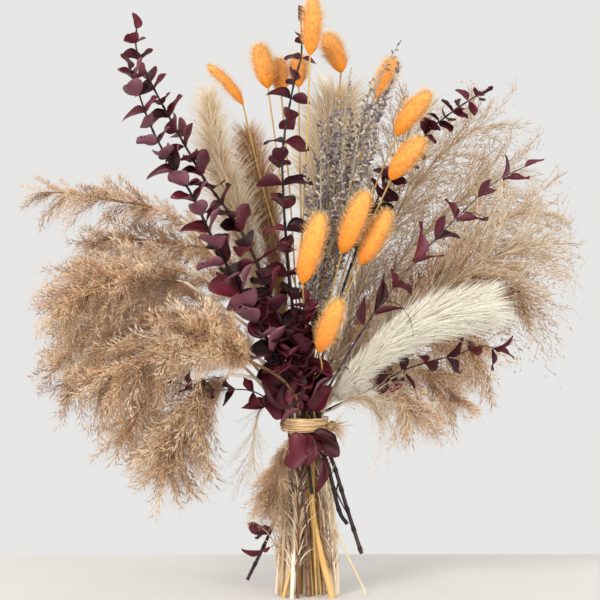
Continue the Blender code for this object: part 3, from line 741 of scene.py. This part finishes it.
yellowStraw = {
    **streaky, "grain": 0.9, "vary": 0.5, "grainScale": 50.0, "rough": 0.5, "bump": 0.3,
    "stretch": (6.0, 6.0, 0.5), "colours": [(180, 124, 62), (224, 176, 106), (242, 212, 150)]}
ownStem = {"reed_left_10": brownStraw, "yellow_reed": yellowStraw, "orange_reed": yellowStraw,
           "straw_centre": palestStraw, "straw_right": palestStraw}
# These heads take a darker copy of the reed hair colours: partly plumes that are darker brown, partly
# painted shade for a shadowed patch among the reeds.
shadedDarkReeds = ("reed_left_2", "reed_left_4", "reed_left_7", "reed_left_9", "reed_right_1",
             "reed_tuft_low")
shadedDarkReed = {**looks["reed"]["hair"],
            "colours": [(110, 66, 40), (180, 126, 82), (228, 182, 134), (250, 222, 186)]}
# Heads that are fuller or slimmer than their kind: (share of the count, share of the length).
ownCover = {
    "reed_left_1": (1.25, 0.75), "reed_right_3": (0.8, 0.75), "reed_right_4": (0.8, 0.7),
    "reed_right_5": (0.5, 0.5), "reed_tuft_low": (1.5, 0.5), "grass_wisp_low": (0.3, 0.4),
    "beige_plume": (1.5, 1.6), "bunny_tail_6": (0.7, 0.8)}
wispStart = (-8 * mm, -13 * mm, 163 * mm)
tieCentre = np.array((0, 0, 143 * mm))
tieTop = 152 * mm
footSwell = 1.45
swellHeights = (40 * mm, 120 * mm)


def kindFor(name):
    if name in otherKind:
        return otherKind[name]
    return next(kind for prefix, kind in kindOf.items() if name.startswith(prefix))


# Where the head begins: the first ring above the tie that leaves the stem's radius.
def splitHead(centres, radii):
    stemRadius = radii[0]
    for i, (centre, radius) in enumerate(zip(centres, radii)):
        if centre[2] > tieTop and abs(radius - stemRadius) > 0.15 * stemRadius:
            return i
    return len(centres) - 1


# The path without its last stretch.
def trimmed(path, widths, amount):
    run = runAlong(path)
    keep = run <= max(run[-1] - amount, 0.5 * run[-1])
    return path[keep], widths[keep]


# The head's path with a thinner stretch of the stem before it, clear of the tie.
def withNeck(stemPath, headPath, headWidths, look):
    run = np.cumsum(np.linalg.norm(np.diff(stemPath, axis=0), axis=1)[::-1])[::-1]
    away = np.linalg.norm(stemPath[:-1] - tieCentre, axis=1)
    chosen = (run <= look.get("neck", 0.0)) & (away > look.get("clear", 0.0))
    chosen &= (stemPath[:-1, 2] > tieCentre[2]) & (stemPath[:-1, 1] > look.get("behind", -1.0))
    refused = np.flatnonzero(~chosen)
    before = stemPath[:-1][refused[-1] + 1 if len(refused) else 0:]
    ramp = np.linspace(0.3, 0.9, len(before)) * max(headWidths[0], 0.55 * headWidths.max())
    widths = np.maximum(headWidths, ramp[-1] if len(before) else 0)
    tipward = np.linspace(0, 1, len(headWidths)) > 0.5
    widths[tipward] = headWidths[tipward]
    return np.vstack([before, headPath]), np.concatenate([ramp, widths])


# How much wider a stem is drawn at these heights: the cut ends swell below the tie.
def fuller(heights, amount):
    return np.interp(heights, swellHeights, [amount, 1.0])


# How many points of the head lie past the end of the stem.
def tailCount(headPath, stemEnd):
    return len(headPath) - 1 - int(np.argmin(np.linalg.norm(headPath - stemEnd, axis=1)))


spikeShares = (0.02, 0.08, 0.18, 0.28, 0.38, 0.48, 0.6)
spikePoints = 10
spikeDensity = 0.36


# Smaller flower spikes that leave a lavender stem and run up beside it.
def sideSpikes(path, widths, rng):
    spikes = []
    tangents, across, other = frameAlong(path)
    for share in spikeShares:
        i = int(share * len(path))
        angle = rng.uniform(0, 2 * math.pi)
        out = math.cos(angle) * across[i] + math.sin(angle) * other[i] * 0.6
        length = rng.uniform(28, 46) * mm
        steps = np.linspace(0, 1, spikePoints)[:, None]
        bend = out * rng.uniform(9, 16) * mm * np.sin(steps * math.pi / 2)
        line = path[i] + bend + tangents[i] * length * steps
        thin = np.linspace(0.75, 0.35, spikePoints) * widths.max()
        spikes.append((line, thin, [0.5] * spikePoints))
    return spikes


sheathLook = {"colours": [(170, 126, 88), (230, 204, 168), (250, 240, 222)], "grain": 0.9,
              "vary": 0.9, "grainScale": 60.0, "tip": ((250, 236, 210), 0.4)}
sheathed = ("reed_left", "reed_right", "reed_back", "cream", "beige", "hair_grass")
sheathHeights = (14 * mm, 112 * mm)


# Dry shreds of leaf that cling to the foot of a stem.
def makeSheath(stemPath, stemWidths, seed):
    low = (stemPath[:, 2] > sheathHeights[0]) & (stemPath[:, 2] < sheathHeights[1])
    line = (stemPath[low], 0.9 * stemWidths[low], [0.5] * int(low.sum()))
    return grown(coverTree, linesMesh([line]), {
        "Kit": kits["shred"], "Count": 36, "Seed": seed, "Length": 26 * mm, "Uneven": 0.4,
        "Lean": 0.2, "Droop": 0.0, "Core": 1.0, "Widest": float(stemWidths[low].max()),
        "Hair material": surfaceFor("sheath", sheathLook),
        "Core material": surfaceFor("straw stem", strawLook)})


# The same greatest width with round closed ends.
def eggShaped(widths):
    share = np.linspace(-1, 1, len(widths))
    return widths.max() * np.sqrt(np.maximum(1 - np.abs(share) ** 2.6, 0.05))


kits = {}
surfaces = {}


def surfaceFor(name, look):
    if name not in surfaces:
        surfaces[name] = makeSurface(name, look)
    return surfaces[name]


# A free stem with its head.
def makePlume(name, seed):
    rng = np.random.default_rng(seed)
    kind = kindFor(name)
    look = looks[kind]
    hangs = name == "reed_tuft_low"
    centres, radii = readTube(name, wispStart if hangs else None)
    centres[0][2] = max(centres[0][2], 0.0)
    straw = kind == "straw"
    if straw:
        split = len(centres) - 1
    else:
        split = 2 if hangs else splitHead(centres, radii)
    stemName = name if name in ownStem else kind
    stemSurface = surfaceFor(f"{stemName} stem", ownStem.get(name, look["stem"]))
    stemPath, stemWidths, _ = smooth(centres[: split + 1], radii[: split + 1])
    stemWidths = np.minimum(stemWidths, radii[0] * 1.02)
    if not straw:
        headRadii = np.maximum(radii[split:], radii[0])
        headPath, headWidths, _ = smooth(centres[split:], headRadii, headStep)
        headPath, headWidths = trimmed(headPath, headWidths, look["trim"])
        if kind == "tail":
            headWidths = eggShaped(headWidths)
        headPath, headWidths = withNeck(stemPath, headPath, headWidths, look)
        past = headPath[len(headPath) - tailCount(headPath, stemPath[-1]):]
        inside = np.linspace(radii[0], 0.3 * radii[0], len(past) + 1)[1:]
        stemPath = np.vstack([stemPath, past])
        stemWidths = np.concatenate([stemWidths, inside])
    stemWidths = stemWidths * fuller(stemPath[:, 2], 1.0 if name in ownStem else footSwell)
    parts = [stemsOf([stemLine(stemPath, stemWidths, rng)], stemSurface)]
    if name.startswith(sheathed):
        parts.append(makeSheath(stemPath, stemWidths, seed))
    if not straw:
        lines = [(headPath, headWidths, np.linspace(0, 1, len(headPath)))]
        counts, lengths = ownCover.get(name, (1, 1))
        if kind == "lavender":
            lines += sideSpikes(headPath, headWidths, rng)
            counts = spikeDensity
        # The listed heads take the darker hair surface, which is partly painted shade.
        hair = ("shaded dark reed", shadedDarkReed) if name in shadedDarkReeds else (f"{kind} hair", look["hair"])
        values = {
            "Kit": kits[look["kit"][0]], "Count": int(look["count"] * counts), "Seed": seed,
            "Length": look["length"] * lengths, "Uneven": look["uneven"], "Lean": look["lean"],
            "Droop": look["droop"], "Core": look["core"], "Widest": float(headWidths.max()),
            "Hair material": surfaceFor(*hair),
            "Core material": surfaceFor(f"{kind} core", look["centre"])}
        parts.append(grown(coverTree, linesMesh(lines), values))
    handOver(joined(f"visual_{name}", parts), name)


for look in looks.values():
    if "kit" in look:
        kitName, builder, variants = look["kit"]
        kits[kitName] = makeKit(kitName, builder, variants, len(kits) + 3)
kits["shred"] = makeKit("shred", makeBristle(0.03, 0.4, 4), 6, 61)
looks["brown"] = {
    **looks["cream"], "slot": "reed_plume", "lean": 0.5,
    "hair": {"colours": [(142, 94, 58), (206, 156, 106), (244, 206, 158)],
             "tip": ((250, 224, 184), 0.4), "grain": 0.9, "vary": 0.8, "grainScale": 60.0},
    "centre": {"colours": [(140, 96, 60), (184, 136, 90)]}}
leafed = ("eucalyptus", "leafy_branch", "raffia")
for order, name in enumerate(sorted(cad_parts)):
    if not name.startswith(leafed):
        makePlume(name, order + 11)
print("plumes built")


# Leafy branches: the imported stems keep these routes, in millimetres, from the cut end to the tip.
# Each has its stem radius, its route, its leaves and their kit. The leaves are the first leafy
# height, the pairs' spacing, a leaf's length and width, and its lean in degrees.

branches = {
    "eucalyptus_left_tall": (1.7, [
        (47, -24, 37), (35, -18, 74), (23, -14, 113), (12, -9.5, 135), (12, -9.5, 151),
        (-13, -28, 213), (-38, -38, 274), (-55, -42, 308), (-81, -44, 344), (-95, -42, 368),
        (-119, -34, 411),
        (-132, -30, 437), (-139, -28, 454), (-139, -28, 472)], (172, 15, 27, 25, 25), "roundLeaf"),
    "eucalyptus_left_front": (1.7, [
        (35, -27, 62), (28, -24, 74), (18, -20, 113), (6, -13, 135), (6, -13, 151), (-8, -17, 171),
        (-24, -32, 201), (-43, -46, 239), (-72, -58, 291), (-92, -60, 333), (-112, -58, 363),
        (-127, -56, 393), (-142, -52, 436)], (158, 15, 29, 26, 35), "roundLeaf"),
    "eucalyptus_centre": (1.6, [
        (3, -15, 0), (3, -15, 4), (-2, -9, 135), (-2, -9, 151), (-8, -20, 223), (-14, -24, 274),
        (-18, -24, 339), (-18, -20, 375), (-10, -6, 424), (-3, 0, 453), (-3, 2, 482)],
        (172, 20, 27, 23, 12), "roundLeaf"),
    "eucalyptus_back_right": (1.5, [
        (-49, 27, 8), (-27, 25, 55), (3, 15, 135), (3, 15, 151), (17, 22, 205), (38, 28, 272),
        (59, 28, 327), (76, 24, 352), (92, 20, 373), (107, 16, 392), (130, 14, 410),
        (152, 14, 424)], (290, 8.5, 19, 19, 15), "roundLeaf"),
    "eucalyptus_short": (1.4, [
        (6, -23, 86), (3, -20, 110), (-2, -15, 135), (-2, -15, 151), (-7, -26, 180), (-4, -38, 215),
        (0, -46, 245)], (154, 8, 26, 22, 40), "roundLeaf"),
    "leafy_branch_right": (1.1, [
        (16, -3, 0), (16, -3, 4), (9.5, -4, 135), (9.5, -4, 151), (25, -22, 184), (50, -36, 226),
        (65, -40, 247), (85, -42, 273), (110, -42, 300), (129, -40, 319), (150, -38, 339),
        (169, -36, 351), (182, -34, 357)], (236, 27, 34, 10, 42), "longLeaf"),
    "leafy_branch_low_right": (1.0, [
        (25, 12, 0), (25, 12, 4), (15.4, 1, 135), (15.4, 1, 151), (24, -9, 158), (50, -20, 171),
        (80, -26, 188), (102, -28, 196), (122, -28, 201), (146, -28, 209), (160, -28, 205)],
        (168, 21, 30, 13, 28), "longLeaf"),
    "leafy_branch_low_left": (0.9, [
        (4, -27, 44), (-2, -22.5, 88), (-6, -18, 109), (-13.5, -8.5, 135), (-13.5, -8.5, 151),
        (-28, -26, 163), (-46, -38, 173), (-76, -50, 174), (-105, -56, 180)],
        (163, 19, 24, 11, 25), "longLeaf"),
}
pairFade = 0.45
firstTurn = math.radians(25)
darkStem = {
    "colours": [(12, 7, 7), (34, 19, 20), (72, 50, 52), (120, 96, 98)], "grain": 0.8,
    "vary": 0.9, "grainScale": 40.0, "rough": 0.5, "bump": 0.3, "stretch": (5.0, 5.0, 0.7)}
brownFoot = {**darkStem, "colours": [(88, 54, 44), (150, 108, 86), (196, 158, 130)]}
leafLook = {
    "colours": [(22, 3, 8), (46, 6, 14), (76, 13, 25), (108, 32, 46)], "grain": 0.9,
    "vary": 0.9, "grainScale": 70.0, "rough": 0.45, "underside": ((118, 58, 74), 0.35),
    "veins": ((120, 60, 70), 0.2), "bump": 0.35, "bumpScale": 260.0}
mauveLook = {**leafLook, "underside": ((156, 102, 118), 0.62)}
mauveBranches = ("eucalyptus_left_front",)
kits["roundLeaf"] = makeKit("roundLeaf", makeLeaf(0.92, 0.5), 8, 41)
kits["longLeaf"] = makeKit("longLeaf", makeLeaf(0.8, 1.25), 5, 43)


# Crossed pairs of leaves up the branch: (root, aim, face, size) of each.
def leavesOn(path, spec, rng):
    firstHeight, spacing, length, width, leanDegrees = spec
    run = runAlong(path)
    tangents, across, other = frameAlong(path)
    high = np.flatnonzero((path[:, 2] >= firstHeight * mm) & (run > 0))
    start = run[high[0]]
    leaves = []
    pair = 0
    place = start
    while place < run[-1] - 4 * mm:
        i = int(np.searchsorted(run, place))
        t = (place - start) / (run[-1] - start)
        share = 1 - pairFade * t
        for half in (0, math.pi):
            angle = firstTurn + pair * math.pi / 2 + half + rng.uniform(-0.3, 0.3)
            out = math.cos(angle) * across[i] + math.sin(angle) * other[i]
            lean = math.radians(leanDegrees) + rng.uniform(-0.4, 0.45)
            aim = out * math.cos(lean) + tangents[i] * math.sin(lean)
            face = out * math.sin(lean) - tangents[i] * math.cos(lean)
            face = face + np.cross(aim, face) * rng.uniform(-0.8, 0.8) + np.array((0, 0.3, 0))
            grow = share * rng.uniform(0.78, 1.18) * mm
            size = (length * grow, width * grow, length * grow)
            leaves.append((path[i] + out * 0.8 * mm, aim, face, size))
        pair += 1
        place += spacing * mm * (0.86 + 0.1 * share)
    tip = path[-1] - tangents[-1] * mm
    small = (0.5 * length * mm, 0.4 * width * mm, 0.5 * length * mm)
    leaves.append((tip, tangents[-1], across[-1], small))
    return leaves


# One leaf set from given values, in millimetres.
def byHand(place, aim, face, length, width):
    aim = np.array(aim, float) / np.linalg.norm(aim)
    face = np.array(face, float)
    face = face - aim * face.dot(aim)
    face = face / np.linalg.norm(face)
    return np.array(place) * mm, aim, face, np.array((length, width, length)) * mm


# Single leaves: broad ones over the tie and small ones that hang below it.
ownLeaves = {
    "eucalyptus_short": [
        byHand((-11, -31, 159), (-0.5, -0.2, 1), (-0.3, 1, 0.1), 40, 36),
        byHand((-13, -37, 161), (0.38, -0.1, 1), (0.5, -1, 0), 30, 12),
        byHand((6, -24, 156), (0.75, -0.3, 0.9), (0.4, 1, -0.5), 26, 18),
        byHand((-16, -16, 152), (-0.9, -0.3, 0.5), (0.3, -1, 0.8), 26, 16),
        byHand((-6, -20, 137), (-0.1, -0.45, -1), (-0.5, -1, 0.2), 33, 24),
        byHand((3, -22, 136), (0.1, -0.5, -1), (-0.6, 1, 0.1), 26, 15)],
    "eucalyptus_left_front": [
        byHand((10, -19, 137), (0.75, -0.4, -0.8), (0.2, 1, -0.6), 27, 17),
        byHand((13, -21, 116), (0.05, -0.3, -1), (-0.8, 1, 0), 28, 9)],
    "eucalyptus_left_tall": [
        byHand((8, -20, 137), (0.9, -0.5, -0.4), (-0.1, 1, -0.9), 22, 13)],
    "eucalyptus_back_right": [
        byHand((-29, 25, 53), (-1, -0.5, 0.25), (0.1, -0.7, 1), 22, 15),
        byHand((-30, 25, 51), (-0.9, -0.8, -0.1), (-0.3, -1, -0.5), 19, 12),
        byHand((-37, 26, 34), (0.8, -0.5, 0.2), (0.2, -0.6, 1), 13, 6),
        byHand((-38, 26, 33), (-1, -0.4, -0.1), (0.1, -0.8, 1), 18, 6),
        byHand((50, 28, 300), (0.3, -1, 0.7), (0.6, -1, 0), 24, 11)],
    "leafy_branch_right": [
        byHand((48, -35, 226), (-0.1, -0.3, 1), (0.7, -1, 0.1), 26, 10)],
    "leafy_branch_low_right": [
        byHand((56, -22, 173), (0.8, -0.9, 0.7), (0.2, -1, 0.6), 28, 16),
        byHand((60, -24, 175), (1, -0.9, 0.2), (0.2, -1, 0.8), 26, 14)],
}


# Bare twigs and tendrils: points and radius.
ownTwigs = {
    "leafy_branch_right": [
        ([(65, -40, 247), (76, -60, 243), (84, -72, 232), (87, -74, 217)], 0.45),
        ([(129, -40, 319), (138, -44, 318), (148, -46, 314)], 0.45)],
    "leafy_branch_low_left": [
        ([(-2, -22.5, 88), (-8, -25, 93), (-18, -27, 98)], 0.6),
        ([(-2, -22.5, 88), (3, -25, 92), (8, -26, 93)], 0.6)],
    "eucalyptus_left_front": [([(24, -22, 92), (31, -25, 78), (33, -26, 74)], 1.0)],
    "eucalyptus_left_tall": [([(28, -16, 96), (25, -20, 84)], 0.9)],
}


def leafMesh(leaves):
    data = bpy.data.meshes.new("leaves")
    data.from_pydata([tuple(leaf[0]) for leaf in leaves], [], [])
    for key, index in (("aim", 1), ("face", 2), ("size", 3)):
        values = np.array([leaf[index] for leaf in leaves], np.float32).reshape(-1)
        data.attributes.new(key, "FLOAT_VECTOR", "POINT").data.foreach_set("vector", values)
    return data


branchStep = 1.6 * mm
twigStep = 3 * mm


def makeBranch(name, order):
    rng = np.random.default_rng(71 + order)
    radius, route, spec, kitName = branches[name]
    path, _, run = smooth(np.array(route, float) * mm, None, branchStep)
    path[:, 2] = np.maximum(path[:, 2], 0.0)
    widths = radius * mm * np.interp(run / run[-1], [0, 0.35, 1], [1.0, 0.95, 0.4])
    stalk = stemLine(path, widths, rng, 0.32, 17 * mm)
    # A foot that stands in the bundle is brown up to the tie.
    below = int((path[:, 2] < tieCentre[2]).sum()) if route[0][2] == 0 else 0
    lines = [tuple(values[below:] for values in stalk)]
    for twig, width in ownTwigs.get(name, []):
        line = smooth(np.array(twig, float) * mm, None, twigStep)[0]
        thin = np.linspace(width, 0.5 * width, len(line)) * mm
        lines.append((line, thin, [0.4] * len(line)))
    leaves = leavesOn(path, spec, rng) + ownLeaves.get(name, [])
    look = ("mauve leaf", mauveLook) if name in mauveBranches else ("leaf", leafLook)
    parts = [stemsOf(lines, surfaceFor("dark stem", darkStem)),
             grown(leafTree, leafMesh(leaves), {
                 "Kit": kits[kitName], "Seed": 5 + order, "Material": surfaceFor(*look)})]
    if below:
        foot = tuple(values[: below + 1] for values in stalk)
        parts.append(stemsOf([foot], surfaceFor("brown foot", brownFoot)))
    handOver(joined(f"visual_{name}", parts), name)


for order, name in enumerate(branches):
    makeBranch(name, order)
print("branches built")


# The raffia: strands wound round the stems, a knot on the right and its frayed ends.

raffiaLook = {
    "colours": [(168, 126, 78), (222, 188, 138), (244, 220, 178)], "grain": 0.8, "vary": 0.9,
    "grainScale": 120.0, "rough": 0.65, "bump": 0.4, "stretch": (2.0, 2.0, 8.0)}
# In millimetres.
wrapCount, wrapBottom, wrapRise, wrapRadius = 15, 137.8, 10.2, 19.2
knotPlace = (22.9, -6.8, 141.5)
frayPlace = (23, -7, 141.5)
frayCount = 70
bandHeights = (138.6, 140.2, 141.8, 143.4, 145.0, 146.6)


# A line of one width and one shade.
def evenLine(points, width, shade):
    return points * mm, np.full(len(points), width * mm), np.full(len(points), shade)


def makeRaffia():
    rng = np.random.default_rng(5)
    lines = []
    angles = np.linspace(0, 2 * math.pi, 64)
    for turn in range(wrapCount):
        height = wrapBottom + wrapRise * turn / (wrapCount - 1)
        rise = rng.uniform(-0.9, 0.9)
        waver = 0.45 * np.sin(angles * rng.integers(2, 5) + rng.uniform(0, 6))
        radius = wrapRadius + 0.35 * np.sin(angles * 3 + rng.uniform(0, 6)) + (turn % 3) * 0.35
        line = np.stack([radius * np.cos(angles), radius * np.sin(angles),
                         height + waver + rise * np.sin(angles)], axis=1)
        lines.append(evenLine(line, rng.uniform(0.4, 0.6), rng.uniform(0, 1)))
    angles = np.linspace(0, 2 * math.pi, 20)
    for _ in range(6):
        tilt = rng.uniform(0, math.pi)
        wide, tall = rng.uniform(2.8, 4.0), rng.uniform(2.6, 4.0)
        x, y = wide * np.cos(angles), 1.6 * np.sin(angles * 2)
        line = np.stack([x * math.cos(tilt) - y * math.sin(tilt),
                         x * math.sin(tilt) + y * math.cos(tilt), tall * np.sin(angles)], axis=1)
        lines.append(evenLine(line + knotPlace, 0.8, rng.uniform(0, 1)))
    steps = np.linspace(0, 1, 6)[:, None]
    for _ in range(frayCount):
        way = np.array([rng.uniform(0.3, 1.0), rng.uniform(-0.8, 0.3), rng.uniform(-0.9, 0.7)])
        length = rng.uniform(5, 19) / np.linalg.norm(way)
        line = np.array(frayPlace) + way * length * steps
        line = line + np.array((0, 0, -3.0)) * steps**2 * rng.uniform(-0.5, 1)
        thin = np.linspace(0.28, 0.1, 6) * mm
        lines.append((line * mm, thin, np.full(6, rng.uniform(0.3, 1))))
    surface = surfaceFor("raffia", raffiaLook)
    angles = np.linspace(0, 2 * math.pi, 48)
    ring = np.stack([18.6 * np.cos(angles), 18.6 * np.sin(angles), 0 * angles], axis=1)
    band = [evenLine(ring + (0, 0, height), 0.9, 0.2) for height in bandHeights]
    parts = [stemsOf(lines, surface, 6), stemsOf(band, surface, 6)]
    handOver(joined("visual_raffia_binding", parts), "raffia_binding")


makeRaffia()
print("raffia built")


# Stage: a pale floor, soft light from the upper left and a pale room.

floorBack = 0.25
floorFront = -1.3
floorHalf = 2.5
floorLook = {"colours": [(226, 224, 220), (232, 230, 226)], "grainScale": 8.0, "rough": 0.6}
floorMesh = bpy.data.meshes.new("floor")
floorMesh.from_pydata([(-floorHalf, floorFront, 0), (floorHalf, floorFront, 0),
                       (floorHalf, floorBack, 0), (-floorHalf, floorBack, 0)], [], [(0, 1, 2, 3)])
floorMesh.materials.append(makeSurface("floor", floorLook))
floor = bpy.data.objects.new("floor", floorMesh)
scene.collection.objects.link(floor)
floor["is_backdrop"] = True
lightTarget = (0, 0, 0.25)


def makeLight(name, place, size, power, colour):
    lamp = bpy.data.lights.new(name, "AREA")
    lamp.shape = "DISK"
    lamp.size = size
    lamp.energy = power
    lamp.color = colour
    holder = bpy.data.objects.new(name, lamp)
    holder.location = place
    holder.rotation_euler = (Vector(lightTarget) - Vector(place)).to_track_quat("-Z", "Y").to_euler()
    scene.collection.objects.link(holder)


makeLight("key", (-2.2, -3.6, 2.6), 1.6, 132, (1.0, 0.985, 0.96))
makeLight("fill", (1.9, -2.4, 0.9), 2.0, 36, (0.97, 0.98, 1.0))
world = bpy.data.worlds.new("pale room")
world.use_nodes = True
background = world.node_tree.nodes["Background"]
background.inputs["Color"].default_value = (0.80, 0.795, 0.785, 1.0)
background.inputs["Strength"].default_value = 1.0
scene.world = world
scene.view_settings.view_transform = "Standard"

camera = bpy.data.objects.new("camera", bpy.data.cameras.new("camera"))
camera.data.sensor_width = 36.0
camera.data.lens = 114.3
camera.location = (-0.004, -1.6, 0.247)
camera.rotation_euler = (math.radians(90), 0, 0)
scene.collection.objects.link(camera)
scene.camera = camera
